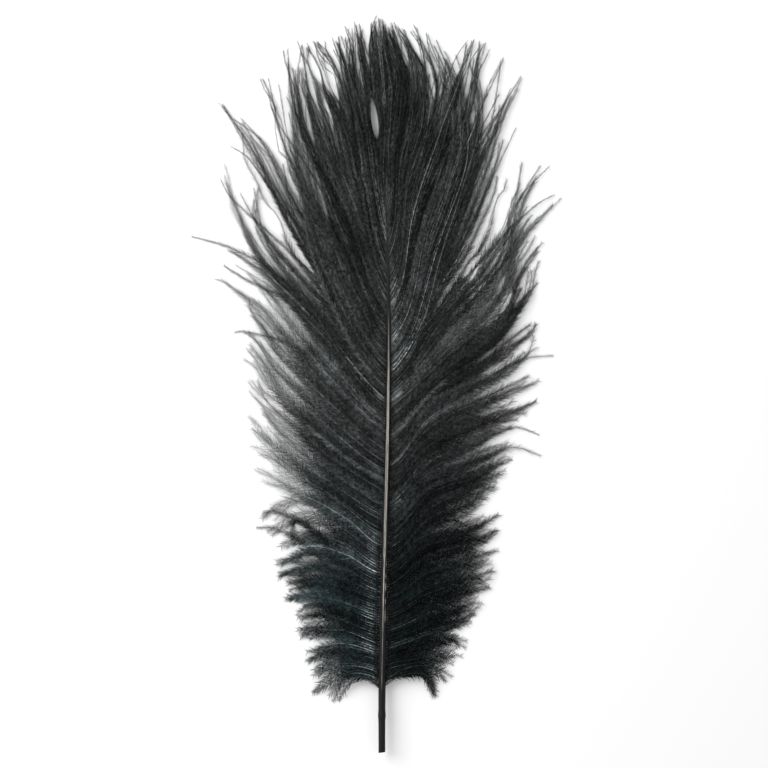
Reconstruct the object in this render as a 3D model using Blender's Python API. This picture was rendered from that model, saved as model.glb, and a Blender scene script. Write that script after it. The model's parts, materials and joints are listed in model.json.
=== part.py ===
"""A black ostrich plume lying flat.

Metres, +Z up, +Y from the cut quill to the tip. The plume has three grown
parts: the shaft, with its bare hollow quill, and the two vanes of barbs on
either side of it. Each vane is one sheet of matted barbs, flat underneath,
thick beside the shaft and thin at its toothed outer edge.

Lengths along the shaft ("roots") are measured from the cut end of the quill,
and sideways places from the line through that cut end.
"""

import bmesh
import bpy
import numpy as np

MM = 0.001

# The shaft.
SHAFT_LENGTH = 315.0
QUILL_TOP = 40.0
QUILL_RINGS = (0.0, 7.0)
UPPER_QUILL_RING = 30.0
PLAIN_RINGS = (48.0, SHAFT_LENGTH, 32)
BOW_ALONG = (0.0, 105.0, 215.0, 315.0)
BOW_ACROSS = (0.0, 1.4, 3.7, 1.3)
WIDTH_ALONG = (0.0, 40.0, 120.0, 220.0, 290.0, 315.0)
HALF_WIDTH = (1.85, 2.0, 1.8, 1.2, 0.55, 0.2)
REST_HEIGHT = 3.3
QUILL_LIFT = 3.6
LIFT_LENGTH = 150.0
RING_SIDES = 16
SQUARENESS = 0.8
GROOVE_DEPTH = 0.2
GROOVE_SPREAD = 0.42
GROOVE_RUN_IN = 15.0
KNUCKLE_AT = 20.0
KNUCKLE_RISE = 0.25
KNUCKLE_LENGTH = 1.6
KNUCKLE_RINGS = (-2.0, -1.0, 0.0, 1.0, 2.0)
CUT_SLANT = 0.14
MOUTH_RADIUS = 1.35
MOUTH_DEPTH = 12.0
MOUTH_NARROWS_AT = 9.6
MOUTH_END_RADIUS = 1.08

# The vanes.
GAP = 0.3
CLEAR_OF_TIP = 7.0
ROWS = 10
SHOULDERS = (0.0, 0.3, 0.5, 0.7)
REACH = (1.0, 0.9, 0.8, 0.9)
MEAN_REACH = 0.9
REACH_VARIES = 0.1
GUIDE_STEPS = 41
HEIGHT_ALONG = (38.0, 60.0, 200.0, 322.0)
ROOT_HEIGHT = (4.0, 5.2, 5.2, 4.2)
EDGE_HEIGHT = 1.4
HEIGHT_FALL = 1.25
RIDGE = 0.16
ANGLE_ALONG = (38.0, 60.0, 95.0, 140.0, 190.0, 225.0, 260.0, 300.0, 322.0)
LEAVING_ANGLE = (66.0, 78.0, 76.0, 62.0, 52.0, 42.0, 30.0, 12.0, 2.0)

# One guide barb a lock: where it leaves the shaft, and then the sideways and
# lengthways place of its middle and of its tip.
LEFT_LOCKS = (
    (38, -19, 41, -30, 29),
    (45, -20, 50, -38, 42),
    (58, -22, 66, -44, 65),
    (74, -25, 83, -52, 84),
    (90, -26, 100, -56, 99),
    (107, -29, 127, -67, 121),
    (124, -32, 146, -73, 166),
    (140, -36, 170, -76, 192),
    (158, -38, 196, -75, 231),
    (173, -40, 217, -90, 259),
    (188, -40, 240, -83, 274),
    (202, -39, 262, -86, 319),
    (214, -35, 282, -88, 354),
    (226, -31, 298, -64, 369),
    (240, -26, 313, -52, 387),
    (256, -18, 326, -39, 389),
    (276, -10, 336, -22, 399),
    (296, -4, 346, -6, 402),
)
RIGHT_LOCKS = (
    (38, 18, 42, 30, 31),
    (46, 21, 52, 43, 52),
    (58, 25, 68, 51, 75),
    (72, 28, 85, 59, 93),
    (88, 30, 103, 62, 116),
    (104, 32, 125, 64, 143),
    (122, 34, 148, 70, 166),
    (142, 38, 172, 84, 192),
    (158, 42, 193, 84, 216),
    (172, 44, 209, 84, 246),
    (184, 45, 225, 88, 274),
    (196, 44, 246, 97, 301),
    (208, 38, 264, 77, 345),
    (222, 32, 282, 76, 369),
    (238, 25, 300, 54, 388),
    (256, 18, 319, 33, 391),
    (276, 10, 336, 15, 399),
    (296, 5, 346, 4, 400),
)
MIDDLE_LOCK = (2, 355, 0, 400)

SHARP_ANGLE = 40.0

BLACK_HORN = (0.022, 0.021, 0.02, 1.0)
BLACK_BARB = (0.014, 0.016, 0.017, 1.0)


def shaft_middle(root):
    """Sideways place of the shaft's centre line, which bows a little."""
    bow = np.polyfit(BOW_ALONG, BOW_ACROSS, 3)
    return float(np.polyval(bow, root))


def shaft_height(root):
    """Height of the centre line: low between the vanes, raised at the quill."""
    rise = max(0.0, 1.0 - root / LIFT_LENGTH)
    return REST_HEIGHT + QUILL_LIFT * rise * rise


def shaft_half_width(root):
    knuckle = KNUCKLE_RISE * np.exp(-((root - KNUCKLE_AT) / KNUCKLE_LENGTH) ** 2)
    return float(np.interp(root, WIDTH_ALONG, HALF_WIDTH) + knuckle)


def new_object(name, bm, colour, roughness):
    """Turn a bmesh in millimetres into a named object with its own material."""
    bmesh.ops.recalc_face_normals(bm, faces=bm.faces[:])
    bmesh.ops.scale(bm, vec=(MM, MM, MM), verts=bm.verts[:])
    mesh = bpy.data.meshes.new(name)
    bm.to_mesh(mesh)
    bm.free()
    mesh.shade_smooth()
    mesh.set_sharp_from_angle(angle=np.radians(SHARP_ANGLE))
    material = bpy.data.materials.new(name + "_finish")
    material.use_nodes = True
    shader = material.node_tree.nodes["Principled BSDF"]
    shader.inputs["Base Color"].default_value = colour
    shader.inputs["Roughness"].default_value = roughness
    shader.inputs["Metallic"].default_value = 0.0
    mesh.materials.append(material)
    obj = bpy.data.objects.new(name, mesh)
    bpy.context.scene.collection.objects.link(obj)
    return obj


def ring_outline(grooved):
    """A unit ring: round at the quill, squarer with a groove on top above it."""
    turn = 2.0 * np.pi * np.arange(RING_SIDES) / RING_SIDES
    from_top = np.abs(np.angle(np.exp(1j * (turn - np.pi / 2.0))))
    power = 2.0 + SQUARENESS * grooved
    square = (np.abs(np.cos(turn)) ** power + np.abs(np.sin(turn)) ** power) ** (-1.0 / power)
    dent = 1.0 - grooved * GROOVE_DEPTH * np.exp(-(from_top / GROOVE_SPREAD) ** 2)
    return np.column_stack((np.cos(turn) * square * dent, np.sin(turn) * square * dent))


def add_ring(bm, root, radius, grooved, slant):
    centre, height = shaft_middle(root), shaft_height(root)
    return [
        bm.verts.new((centre + across, root + slant * across, height + up))
        for across, up in ring_outline(grooved) * radius
    ]


def skin_rings(bm, lower, upper):
    for here in range(RING_SIDES):
        there = (here + 1) % RING_SIDES
        bm.faces.new((lower[here], lower[there], upper[there], upper[here]))


def shaft_roots():
    """Places of the rings: close at the knuckle, wider along the plain shaft."""
    knuckle = KNUCKLE_AT + KNUCKLE_LENGTH * np.array(KNUCKLE_RINGS)
    quill = np.concatenate((QUILL_RINGS, knuckle, (UPPER_QUILL_RING, QUILL_TOP)))
    return np.concatenate((quill, np.linspace(*PLAIN_RINGS)))


def make_shaft():
    """The grown shaft: a loft of rings, closed at the tip, hollow at the cut."""
    bm = bmesh.new()
    mouth = [
        add_ring(bm, MOUTH_DEPTH, MOUTH_END_RADIUS, 0.0, 0.0),
        add_ring(bm, MOUTH_NARROWS_AT, MOUTH_RADIUS, 0.0, 0.0),
        add_ring(bm, 0.0, MOUTH_RADIUS, 0.0, CUT_SLANT),
    ]
    wall = []
    for root in shaft_roots():
        grooved = float(np.clip((root - QUILL_TOP) / GROOVE_RUN_IN, 0.0, 1.0))
        slant = CUT_SLANT if root == 0.0 else 0.0
        wall.append(add_ring(bm, root, shaft_half_width(root), grooved, slant))
    rings = mouth + wall
    for lower, upper in zip(rings, rings[1:]):
        skin_rings(bm, lower, upper)
    bm.faces.new(mouth[0])
    bm.faces.new(wall[-1])
    return new_object("shaft", bm, BLACK_HORN, 0.42)


def root_point(side, root):
    """Where a barb leaves: just clear of the shaft, and on the middle past its tip."""
    clear = shaft_half_width(min(root, SHAFT_LENGTH)) + GAP
    past = np.clip((root - SHAFT_LENGTH) / CLEAR_OF_TIP, 0.0, 1.0)
    offset = (1.0 - past) * clear + past * GAP / 2.0
    return np.array((shaft_middle(min(root, SHAFT_LENGTH)) + side * offset, root))


def hermite(start, end, leave, arrive, share):
    square, cube = share * share, share ** 3
    return (
        (2 * cube - 3 * square + 1) * start + (cube - 2 * square + share) * leave
        + (3 * square - 2 * cube) * end + (cube - square) * arrive
    )


def guide_path(side, lock):
    """The points of one guide barb, from its root through its middle to its tip."""
    root = lock[0]
    start = root_point(side, root)
    middle, tip = np.array(lock[1:3], float), np.array(lock[3:5], float)
    angle = np.radians(np.interp(root, ANGLE_ALONG, LEAVING_ANGLE))
    leave = np.linalg.norm(middle - start) * np.array((side * np.sin(angle), np.cos(angle)))
    through = (tip - start) / 2.0
    points = []
    for share in np.linspace(0.0, 2.0, GUIDE_STEPS):
        if share <= 1.0:
            points.append(hermite(start, middle, leave, through, share))
        else:
            points.append(hermite(middle, tip, through, tip - middle, share - 1.0))
    return np.array(points)


def point_at(path, share):
    steps = np.linspace(0.0, 1.0, len(path))
    return np.array([np.interp(share, steps, path[:, axis]) for axis in (0, 1)])


def vane_columns(side, locks):
    """Columns of the sheet: each a barb line, with how far out it reaches."""
    last_root = SHAFT_LENGTH + CLEAR_OF_TIP
    clear = side * GAP / 2.0
    across, along, tip_across, tip_along = MIDDLE_LOCK
    last_lock = (last_root, across + clear, along, tip_across + clear, tip_along)
    paths = [guide_path(side, lock) for lock in locks + (last_lock,)]
    roots = [lock[0] for lock in locks] + [last_root]
    columns = []
    for here in range(len(locks)):
        for shoulder, reach in zip(SHOULDERS, REACH):
            path = (1.0 - shoulder) * paths[here] + shoulder * paths[here + 1]
            root = (1.0 - shoulder) * roots[here] + shoulder * roots[here + 1]
            columns.append((root, path, reach))
    columns.append((roots[-1], paths[-1], 1.0))
    return columns


def sheet_height(root, outward, reach):
    """Thickness of the matted barbs: ridged along each lock, thin at the edge."""
    at_root = np.interp(root, HEIGHT_ALONG, ROOT_HEIGHT)
    ridge = 1.0 + RIDGE * (reach - MEAN_REACH) / REACH_VARIES * outward
    return EDGE_HEIGHT + (at_root - EDGE_HEIGHT) * (1.0 - outward) ** HEIGHT_FALL * ridge


def make_vane(name, side, locks):
    """One vane: its top skinned over the barb lines, then carried down flat."""
    bm = bmesh.new()
    grid = []
    for root, path, reach in vane_columns(side, locks):
        column = []
        for outward in np.linspace(0.0, 1.0, ROWS + 1):
            across, along = point_at(path, outward * reach)
            if outward == 0.0:
                across, along = root_point(side, root)
            column.append(bm.verts.new((across, along, sheet_height(root, outward, reach))))
        grid.append(column)
    for left, right in zip(grid, grid[1:]):
        for row in range(ROWS):
            bm.faces.new((left[row], right[row], right[row + 1], left[row + 1]))
    under = bmesh.ops.extrude_face_region(bm, geom=bm.faces[:], use_keep_orig=True)
    for item in under["geom"]:
        if isinstance(item, bmesh.types.BMVert):
            item.co.z = 0.0
    return new_object(name, bm, BLACK_BARB, 0.6)


def centre_on_origin(objects):
    """Put the middle of the whole outline at X and Y zero; the underside stays at Z zero."""
    points = np.array([vert.co for obj in objects for vert in obj.data.vertices])
    middle = (points.min(axis=0) + points.max(axis=0)) / 2.0
    for obj in objects:
        for vert in obj.data.vertices:
            vert.co.x -= middle[0]
            vert.co.y -= middle[1]


def main():
    for old in list(bpy.data.objects):
        bpy.data.objects.remove(old)
    plume = [
        make_shaft(),
        make_vane("left_vane", -1.0, LEFT_LOCKS),
        make_vane("right_vane", 1.0, RIGHT_LOCKS),
    ]
    centre_on_origin(plume)


main()
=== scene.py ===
"""Black ostrich plume: the looks of a feather lying grooved side up.

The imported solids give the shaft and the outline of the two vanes. This script
replaces them with a finely turned shaft and with real down: single barbs that
leave the shaft, gather into pointed locks and carry hundreds of thousands
of curved barbules. Lengths in the barb tables are millimetres from the cut end of
the quill; everything else is in metres.
"""

import json

import bpy
import numpy as np
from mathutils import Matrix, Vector

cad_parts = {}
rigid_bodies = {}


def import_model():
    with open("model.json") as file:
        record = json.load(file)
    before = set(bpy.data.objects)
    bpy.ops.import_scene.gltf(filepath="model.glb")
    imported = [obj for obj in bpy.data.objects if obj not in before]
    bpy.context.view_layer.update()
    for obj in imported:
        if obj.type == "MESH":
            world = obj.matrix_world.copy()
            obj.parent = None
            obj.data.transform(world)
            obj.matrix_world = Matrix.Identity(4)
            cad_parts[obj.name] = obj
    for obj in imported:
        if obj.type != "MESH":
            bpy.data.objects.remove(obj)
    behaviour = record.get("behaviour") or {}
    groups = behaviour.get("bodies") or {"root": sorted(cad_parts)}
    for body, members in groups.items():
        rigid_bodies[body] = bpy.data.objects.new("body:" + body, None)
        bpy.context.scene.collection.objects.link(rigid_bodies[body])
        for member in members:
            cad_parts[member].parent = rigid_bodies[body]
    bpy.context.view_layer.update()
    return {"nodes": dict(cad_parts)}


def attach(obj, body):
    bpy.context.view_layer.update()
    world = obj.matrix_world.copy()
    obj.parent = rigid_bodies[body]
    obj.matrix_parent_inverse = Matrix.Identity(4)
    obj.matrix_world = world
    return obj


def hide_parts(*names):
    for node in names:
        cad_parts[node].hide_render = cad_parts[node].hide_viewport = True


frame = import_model()

bl_info = {
    "name": "Ostrich Plume",
    "version": (1, 0, 0),
    "blender": (4, 5, 0),
    "location": "3D View > Sidebar > Plume",
    "description": "Builds a black ostrich plume barb by barb around its solid frame",
    "category": "Add Mesh",
}

MM = 0.001
LEFT, RIGHT = -1.0, 1.0

# Leaving angle of the barbs from the shaft, in degrees, by place along it.
ANGLE_ALONG = (38, 60, 95, 140, 190, 225, 260, 300, 316)
LEAVING_ANGLE = (32, 78, 78, 64, 53, 43, 31, 14, 3)

# Guide barbs: where each leaves the shaft, then the sideways and lengthways
# places of two points on its way and of the tip of its lock.
LEFT_GUIDES = (
    (36.8, (-6, 40.2), (-18, 41), (-27, 28)),
    (40, (-13, 45), (-26, 42), (-36, 31)),
    (44, (-18, 49), (-28, 48), (-38, 42)),
    (50, (-19, 55), (-30, 55), (-41, 50)),
    (58, (-20, 65), (-33, 67), (-45, 64)),
    (66, (-22, 74), (-34, 77), (-46, 74)),
    (74, (-23, 82), (-39, 85), (-52, 83)),
    (81, (-23, 89), (-39, 92), (-52, 90)),
    (88, (-21, 97), (-39, 100), (-56, 96)),
    (95, (-20, 105), (-38, 109), (-57, 103)),
    (102, (-19, 114), (-38, 119), (-55, 113)),
    (105, (-20, 118), (-42, 128), (-60, 119)),
    (109, (-20, 124), (-44, 138), (-67, 121)),
    (115, (-20, 131), (-49, 144), (-71, 156)),
    (121, (-23, 137), (-50, 153), (-71, 167)),
    (127, (-26, 143), (-53, 161), (-74, 182)),
    (133, (-26, 150), (-51, 168), (-67, 187)),
    (141, (-26, 158), (-53, 181), (-76, 199)),
    (149, (-26, 167), (-52, 192), (-73, 221)),
    (157, (-28, 181), (-56, 207), (-75, 230)),
    (165, (-28, 190), (-57, 220), (-74, 244)),
    (172, (-31, 201), (-62, 236), (-90, 259)),
    (178, (-31, 211), (-58, 244), (-71, 262)),
    (185, (-30, 221), (-58, 253), (-83, 273)),
    (192, (-28, 226), (-62, 262), (-79, 290), (-86, 320)),
    (199, (-26, 236), (-55, 268), (-67, 288), (-69, 308)),
    (207, (-26, 246), (-50, 285), (-64, 314), (-77, 338), (-88, 354)),
    (214, (-24, 257), (-48, 300), (-61, 324), (-78, 347)),
    (221, (-22, 267), (-50, 320), (-63, 368)),
    (228, (-20, 276), (-39, 320), (-54, 352)),
    (236, (-19, 288), (-44, 340), (-52, 383)),
    (243, (-16, 295), (-36, 345), (-46, 388)),
    (251, (-13, 307), (-27, 353), (-41, 386)),
    (260, (-10, 310), (-20, 354), (-35, 388)),
    (268, (-8, 315), (-15, 356), (-27, 389)),
    (276, (-7, 323), (-13, 367), (-20, 397)),
    (286, (-4, 326), (-9, 372), (-15, 398)),
    (299, (-1, 333), (-4, 370), (-5, 402)),
)
RIGHT_GUIDES = (
    (38.3, (6.5, 41.6), (22, 42), (29, 30)),
    (41, (13, 46), (27, 45), (38, 39)),
    (46, (18, 50), (32, 52), (43, 52)),
    (51, (21, 57), (36, 61), (46, 57)),
    (57, (24, 65), (40, 70), (50, 74)),
    (63, (24, 72), (43, 78), (54, 81)),
    (69, (24, 79), (44, 86), (58, 89)),
    (76, (24, 88), (45, 93), (60, 98)),
    (83, (24, 96), (45, 103), (63, 109)),
    (90, (24, 106), (47, 113), (63, 120)),
    (98, (24, 115), (48, 121), (63, 129)),
    (106, (26, 127), (47, 136), (62, 144)),
    (114, (26, 136), (49, 144), (66, 152)),
    (121, (26, 143), (51, 150), (70, 160)),
    (129, (26, 151), (49, 158), (69, 168)),
    (136, (26, 159), (48, 167), (70, 177)),
    (144, (26, 167), (56, 180), (84, 190)),
    (152, (26, 176), (59, 191), (84, 204)),
    (159, (29, 188), (65, 206), (84, 225)),
    (166, (32, 197), (66, 217), (84, 232)),
    (174, (30, 202), (64, 228), (83, 256)),
    (179, (30, 203), (67, 228), (79, 247), (86, 267)),
    (185, (33, 209), (65, 235), (77, 260), (86, 278)),
    (191, (37, 222), (66, 252), (76, 279), (97, 302)),
    (197, (34, 235), (66, 280), (80, 321)),
    (203, (32, 246), (58, 290), (73, 340)),
    (211, (26, 251), (54, 307), (67, 354)),
    (218, (26, 264), (52, 329), (76, 367)),
    (225, (24, 277), (48, 337), (66, 378)),
    (233, (21, 286), (46, 350), (55, 387)),
    (241, (18, 296), (37, 351), (47, 388)),
    (250, (15, 307), (33, 362), (32, 388)),
    (260, (13, 317), (25, 367), (18, 398)),
    (271, (10, 324), (17, 370), (8, 398)),
    (283, (7, 331), (10, 370), (4, 397)),
    (299, (4, 340), (4, 370), (1, 394)),
)

# Steep guides of the barbs that stand almost along the shaft and fill the plume's top.
LEFT_STEEP = (
    (196, (-30, 246), (-43, 290), (-50, 352)),
    (206, (-31, 264), (-44, 311), (-52, 379)),
    (216, (-27, 272), (-41, 322), (-46, 385)),
    (226, (-21, 275), (-33, 325), (-44, 372)),
    (235, (-17, 280), (-28, 335), (-42, 384)),
    (245, (-13, 290), (-24, 338), (-40, 384)),
    (256, (-11, 303), (-19, 350), (-35, 387)),
    (268, (-8, 315), (-15, 352), (-26, 388)),
    (278, (-6, 322), (-15, 360), (-21, 394)),
    (289, (-3, 332), (-9, 368), (-15, 396)),
    (301, (-1, 335), (-4, 368), (-5, 398)),
)
RIGHT_STEEP = (
    (196, (36, 268), (54, 325), (51, 377)),
    (206, (33, 274), (50, 330), (50, 385)),
    (216, (29, 281), (46, 332), (31, 388)),
    (222, (27, 290), (43, 342), (41, 381)),
    (227, (24, 290), (40, 340), (24, 391)),
    (233, (22, 296), (38, 344), (44, 383)),
    (238, (21, 299), (36, 351), (31, 386)),
    (250, (17, 306), (30, 355), (18, 394)),
    (262, (12, 315), (22, 357), (10, 394)),
    (275, (9, 325), (15, 362), (3, 394)),
    (290, (5, 333), (8, 366), (1, 396)),
    (303, (3, 338), (4, 368), (-1, 399)),
)

# Partings where the floor shows between the locks: both ends and half the width. Each barb
# meets them a little wider or narrower, slipped along by a share of their length, and has
# less fluff beside them.
PARTING_VARIES = (0.55, 1.25)
PARTING_SLIP = 0.08
PARTING_BARES = 0.65
PARTINGS = (
    ((-5.5, 357), (-2.2, 331), 2.2),
    ((-0.5, 361), (2, 350), 1.0),
    ((-65, 299), (-56, 280), 3.6),
    ((-57, 352), (-53, 318), 2.6),
    ((-40, 381), (-33, 364), 2.2),
    ((-30, 379), (-24.5, 357), 2.4),
    ((-43, 357), (-41.5, 347), 0.9),
    ((50, 271), (45, 256), 2.2),
    ((67, 308), (62, 279), 3.0),
    ((57.5, 336), (55.5, 321), 1.3),
    ((66, 259), (63, 250), 1.3),
    ((72, 251), (64, 239), 1.8),
    ((-63, 196), (-57, 186), 1.6),
)


# ---------------------------------------------------------------- node helpers


def wire(tree, socket, value):
    """Link a socket to another, or give it a plain value."""
    if isinstance(value, bpy.types.NodeSocket):
        tree.links.new(value, socket)
    else:
        socket.default_value = value


def add_node(tree, kind, inputs=(), **settings):
    """Add a node with its settings, then wire or set the inputs named by name or number."""
    node = tree.nodes.new(kind)
    for key, value in settings.items():
        setattr(node, key, value)
    for key, value in dict(inputs).items():
        wire(tree, node.inputs[key], value)
    return node


def maths(tree, operation, *values):
    node = add_node(tree, "ShaderNodeMath", operation=operation)
    for socket, value in zip(node.inputs, values):
        wire(tree, socket, value)
    return node.outputs[0]


def product(tree, first, *others):
    for other in others:
        first = maths(tree, "MULTIPLY", first, other)
    return first


def ramp(tree, value, low, high, to=(0.0, 1.0), shape="LINEAR"):
    """The value mapped from one range onto another, and held inside it."""
    ends = {"Value": value, "From Min": low, "From Max": high, "To Min": to[0], "To Max": to[1]}
    return add_node(tree, "ShaderNodeMapRange", ends, interpolation_type=shape).outputs["Result"]


def noise(tree, place, scale, roughness, detail=2.0):
    look = {"Vector": place, "Scale": scale, "Detail": detail, "Roughness": roughness}
    return add_node(tree, "ShaderNodeTexNoise", look).outputs["Fac"]


def attribute(tree, name):
    return add_node(tree, "ShaderNodeAttribute", attribute_name=name).outputs["Fac"]


# ---------------------------------------------------------------- mesh helpers


def add_values(mesh, name, numbers):
    """Keep one number for each point of a mesh."""
    layer = mesh.attributes.new(name, "FLOAT", "POINT")
    layer.data.foreach_set("value", np.array(numbers, np.float32))


def place_object(name, data):
    thing = bpy.data.objects.new(name, data)
    bpy.context.scene.collection.objects.link(thing)
    return thing


# ------------------------------------------------------------------ the shaft

# The rings that line the hollow quill, which the finely turned shaft makes anew.
LINING_LENGTH = 30 * MM
LINING_RADIUS = 1.7 * MM


def shaft_rings():
    """Read the solid shaft: place, centre, height and half width of each ring."""
    points = np.array([vert.co for vert in frame["nodes"]["shaft"].data.vertices])
    low = points[:, 1].min()
    rings = []
    for along in np.unique(np.round(points[:, 1], 5)):
        ring = points[np.abs(points[:, 1] - along) < 1e-5]
        half = (ring[:, 0].max() - ring[:, 0].min()) / 2.0
        hidden = along - low < LINING_LENGTH and half < LINING_RADIUS
        if len(ring) >= 8 and not hidden:
            centre = (ring[:, 0].max() + ring[:, 0].min()) / 2.0
            rings.append((along, centre, ring[:, 2].min() + half, half))
    return np.array(rings)


def cut_end():
    """Sideways centre and lengthways place of the quill's cut end."""
    points = np.array([vert.co for vert in frame["nodes"]["shaft"].data.vertices])
    near = points[points[:, 1] < points[:, 1].min() + MM]
    return np.array(((near[:, 0].min() + near[:, 0].max()) / 2.0, near[:, 1].mean()))


RINGS = shaft_rings()
CUT = cut_end()


def shaft_at(root):
    """Centre, height and half width of the shaft, in metres, at a place in millimetres."""
    along = CUT[1] + root * MM
    return [float(np.interp(along, RINGS[:, 0], RINGS[:, column])) for column in (1, 2, 3)]


# ------------------------------------------------------------- barb centrelines

# Points on a barb's middle line, and steps between two points of a guide.
STATIONS = 28
CURVE_STEPS = 25

# Where the barbs leave the shaft, in millimetres; the last guide, which both vanes share, stands
# for the tip.
TERMINAL = (315, (2, 344), (1, 372), (-2, 400))
ROOT_SPACING_ALONG = (36, 110, 200, 240, 315)
ROOT_SPACING = (1.4, 1.35, 0.95, 0.62, 0.6)
ROOT_JITTER = 0.25
ANY_PHASE = (0.0, 6.3)
SHAFT_THINS = (220, 290)

# How the barbs of a lock keep together, by place along the shaft: how strongly they gather and
# from what share of their length, how they ripple, curl and swing, what share of them stays
# loose, how short the shortest is, and what share follows the steep guides.
CLUMP_ALONG = (37, 100, 160, 220, 315)
CLUMP_PULL = (0.35, 0.4, 0.55, 0.8, 0.85)
CLUMP_START = (0.3, 0.35, 0.4, 0.5, 0.6)
LOCK_RIPPLE = (0.3, 0.5, 0.9, 1.2, 0.8)
TIP_CURL = (0.3, 0.5, 1.0, 1.3, 1.1)
LOOSE_SHARE = (0.12, 0.15, 0.2, 0.3, 0.35)
SHORTEST = (0.84, 0.8, 0.7, 0.64, 0.7)
SWING_ALONG = (37, 150, 250, 315)
SWING = (1.1, 1.3, 1.5, 1.2)
LOOSE_SWING = 1.9
LOOSE_PULL = 0.1
LEADER_PULL = 0.9
PULL_VARIES = (0.6, 1.1)
CURL_VARIES = (0.4, 1.6)
CURL_WAVES = (14.0, 34.0)
LAYER_VARIES = (-0.6, 0.6)
TONE_VARIES = 0.5
STEEP_SHARE_ALONG = (192, 205, 250, 300)
STEEP_SHARE = (0.0, 0.4, 0.55, 0.8)
LIGHTEST_TONE = 2.8

# Heights of a barb in millimetres: of its tip, of its arch, what its layer adds to each, and
# the lowest that its middle line may lie.
TIP_HEIGHT = (0.5, 2.2)
TIP_LAYER = 0.5
ARCH_HEIGHT = 2.2
ARCH_LAYER = 1.5
ARCH_SHAPE = 3.6
LOWEST_LINE = 0.35

# Radius of a rib in millimetres, what its foot adds over what length, and how much it thins.
RIB_RADIUS = 0.14
RIB_FOOT = 0.22
RIB_FOOT_LENGTH = 6.0
RIB_THINS = 0.05

# Length of the barbules in millimetres, over what part of the barb they grow to it, and how
# far they lean from the barb in degrees.
FLUFF_ALONG = (37, 110, 200, 250, 315)
FLUFF_LENGTH = (5.6, 6.0, 5.2, 4.0, 3.0)
FULL_FLUFF = (1.0, 14.0)
LEAN_ALONG = (37, 110, 180, 230, 315)
LEAN_ANGLE = (48, 46, 39, 27, 21)
BARB_VARIES = (0.85, 1.15)
POINT_VALUES = ("fluff", "lean", "thick", "along", "pale", "fine")

# The short barbs low beside the shaft.
UNDERCOAT_ENDS = (38.0, 225.0)
UNDERCOAT_SPACING = 1.5
UNDERCOAT_REACH = 13.0
UNDERCOAT_VARIES = (0.6, 1.6)
UNDERCOAT_LAYER = -1.0
UNDERCOAT_STEP = 3
UNDERCOAT_HEIGHT = 0.55
UNDERCOAT_TONE = 0.5

# The single barbs that stray.
STRAY_LAYER = 0.3
STRAY_SLIM = 0.85
STRAY_TONE = 0.8

# Single barbs that stray from the locks, given like the guides.
LEFT_STRAYS = (
    (34.5, (-8, 40), (-16, 39), (-23.5, 28)),
    (35.5, (-12, 41), (-26, 41), (-35, 32)),
    (78, (-42, 113), (-60, 122), (-68, 122)),
    (85, (-40, 122), (-58, 131), (-64.5, 130)),
    (88, (-38, 122), (-48, 126), (-48.7, 115)),
    (150, (-45, 183), (-64, 196), (-68, 202)),
    (185, (-50, 222), (-74, 229), (-80, 229)),
    (188, (-42, 247), (-62, 276), (-70, 307)),
    (200, (-50, 245), (-75, 258), (-86, 265)),
    (202, (-60, 262), (-83, 275), (-103.5, 281)),
    (212, (-50, 264), (-68, 288), (-77, 304)),
    (220, (-55, 277), (-83, 303), (-88, 312)),
    (232, (-50, 292), (-73, 324), (-82, 330)),
    (250, (-40, 318), (-56, 342), (-61, 353)),
    (206, (-27, 247), (-52, 291), (-87, 353)),
    (209, (-26, 251), (-55, 302), (-86, 352)),
    (205, (-28, 252), (-46, 286), (-54, 320)),
    (221, (-23, 269), (-50, 322), (-62, 358)),
    (224, (-22, 273), (-51, 325), (-62, 367)),
)
RIGHT_STRAYS = (
    (36, (12, 42), (24, 42), (28, 31)),
    (37.5, (14, 46), (28, 46), (34.5, 38)),
    (140, (50, 158), (71, 166), (86, 161.5)),
    (150, (50, 166), (71, 177), (85, 173)),
    (165, (50, 190), (70, 200), (80, 205)),
    (168, (48, 198), (77, 214), (93, 216)),
    (205, (66, 266), (74, 298), (86, 319)),
    (210, (55, 262), (72, 285), (79, 297)),
    (213, (65, 280), (85, 299), (93.5, 303.6)),
    (216, (60, 262), (74, 300), (91, 319)),
    (204, (34, 256), (57, 306), (73, 340)),
    (206, (33, 258), (59, 322), (64, 352)),
    (207, (33, 260), (57, 318), (70, 357)),
    (209, (32, 262), (58, 330), (76, 367)),
    (211, (31, 263), (57, 332), (65, 377)),
    (212, (30, 264), (55, 318), (62, 342)),
    (208, (34, 256), (58, 308), (66, 333)),
    (280, (36, 345), (47, 374), (54, 386)),
    (283, (34, 350), (46, 378), (50, 387.5)),
    (286, (30, 350), (40, 378), (46.5, 388)),
    (213, (26, 258), (51, 318), (68, 355)),
    (216, (24, 262), (51, 325), (75.5, 368)),
    (218, (25, 265), (54, 322), (74, 361)),
    (223, (24, 275), (47, 335), (66, 377)),
    (226, (24, 279), (50, 332), (63.5, 358)),
    (229, (22, 282), (45, 345), (53, 385)),
    (232, (22, 286), (47, 345), (53, 372)),
    (235, (20, 290), (42, 350), (50, 388)),
    (239, (19, 294), (39, 348), (46, 386)),
)


def between(value, places, numbers):
    return np.interp(value, places, numbers)


def smooth(low, high, value):
    share = np.clip((value - low) / (high - low), 0.0, 1.0)
    return share * share * (3.0 - 2.0 * share)


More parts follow.
